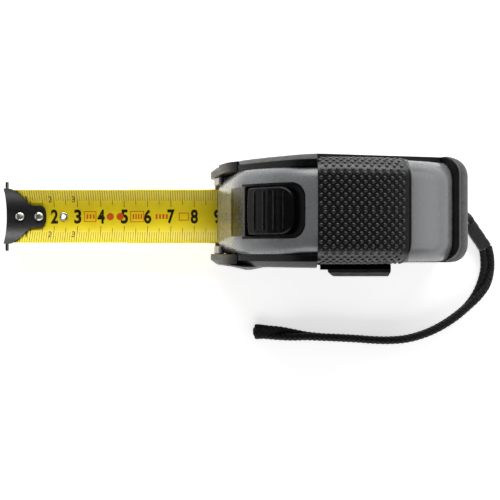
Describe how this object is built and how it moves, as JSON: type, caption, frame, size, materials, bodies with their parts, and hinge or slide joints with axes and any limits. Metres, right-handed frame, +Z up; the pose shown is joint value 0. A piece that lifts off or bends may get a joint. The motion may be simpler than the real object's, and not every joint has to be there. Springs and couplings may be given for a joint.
{
  "type": "tape measure",
  "caption": "Pocket tape measure on its base, curved blade partly out, thumb lock, rubber armour, belt clip and braided wrist strap.",
  "frame": {"origin": "centre of the case's flat base", "axes": "+Z up, blade runs out along -X, belt clip on the -Y side"},
  "size_m": [0.21, 0.0756, 0.0794],
  "materials": {
    "grey_shell": "satin gloss moulded ABS",
    "black_rubber": "soft-touch overmould",
    "dotted_rubber": "raised-dot grip",
    "black_plastic": "fine texture",
    "inner_plastic": "plain moulding",
    "blade_yellow": "lacquered tape with printed scale",
    "spring_steel": "blued spring steel",
    "rivet_steel": "polished",
    "hook_black": "black satin coating",
    "clip_black": "black lacquer",
    "screw_steel": "black zinc",
    "braid": "braided cord"
  },
  "bodies": {
    "case": {"case_left": "grey_shell", "case_right": "grey_shell", "side_armour_left": "black_rubber", "side_armour_right": "black_rubber", "grip_saddle_left": "dotted_rubber", "grip_saddle_right": "dotted_rubber", "rear_bumper_left": "black_rubber", "rear_bumper_right": "black_rubber", "mouth_guard": "grey_shell", "lock_bezel": "black_plastic", "lock_spring": "spring_steel", "spindle": "inner_plastic", "mainspring": "spring_steel", "belt_clip": "clip_black", "belt_clip_screw": "screw_steel", "case_screws": "screw_steel", "strap_pin": "rivet_steel", "strap_anchor_loop": "braid", "strap_ferrule": "black_plastic", "strap_loop": "braid"},
    "blade": {"blade_front": "blade_yellow", "hook_rivets": "rivet_steel", "blade_eyelet": "rivet_steel"},
    "blade_follow": {"blade_inner": "blade_yellow"},
    "spool": {"spool_hub": "inner_plastic", "spool_flange_left": "inner_plastic", "spool_flange_right": "inner_plastic", "blade_coil": "blade_yellow"},
    "hook": {"end_hook": "hook_black"},
    "lock": {"lock_button": "black_plastic", "lock_lever": "inner_plastic", "brake_pad": "black_rubber"}
  },
  "joints": [
    {"name": "blade_slide", "type": "slide", "parent": "case", "child": "blade", "axis": [-1, 0, 0], "range_m": [-0.0868, 0.084], "stiffness_N_per_m": 4, "springref_m": -1.5},
    {"name": "blade_follow_slide", "type": "slide", "parent": "case", "child": "blade_follow", "axis": [-1, 0, 0], "range_m": [-0.044, 0.043]},
    {"name": "spool_spin", "type": "hinge", "parent": "case", "child": "spool", "pos_m": [0.003, 0, 0.042], "axis": [0, 1, 0], "range_deg": [-170, 165]},
    {"name": "hook_float", "type": "slide", "parent": "blade", "child": "hook", "axis": [1, 0, 0], "range_m": [0, 0.001]},
    {"name": "lock_slide", "type": "slide", "parent": "case", "child": "lock", "axis": [0.8, 0, 0.6], "range_m": [0, 0.0036]}
  ],
  "couplings": [
    {"joint": "blade_follow_slide", "follows": "blade_slide", "ratio": 0.5},
    {"joint": "spool_spin", "follows": "blade_slide", "rad_per_m": 32.8}
  ]
}
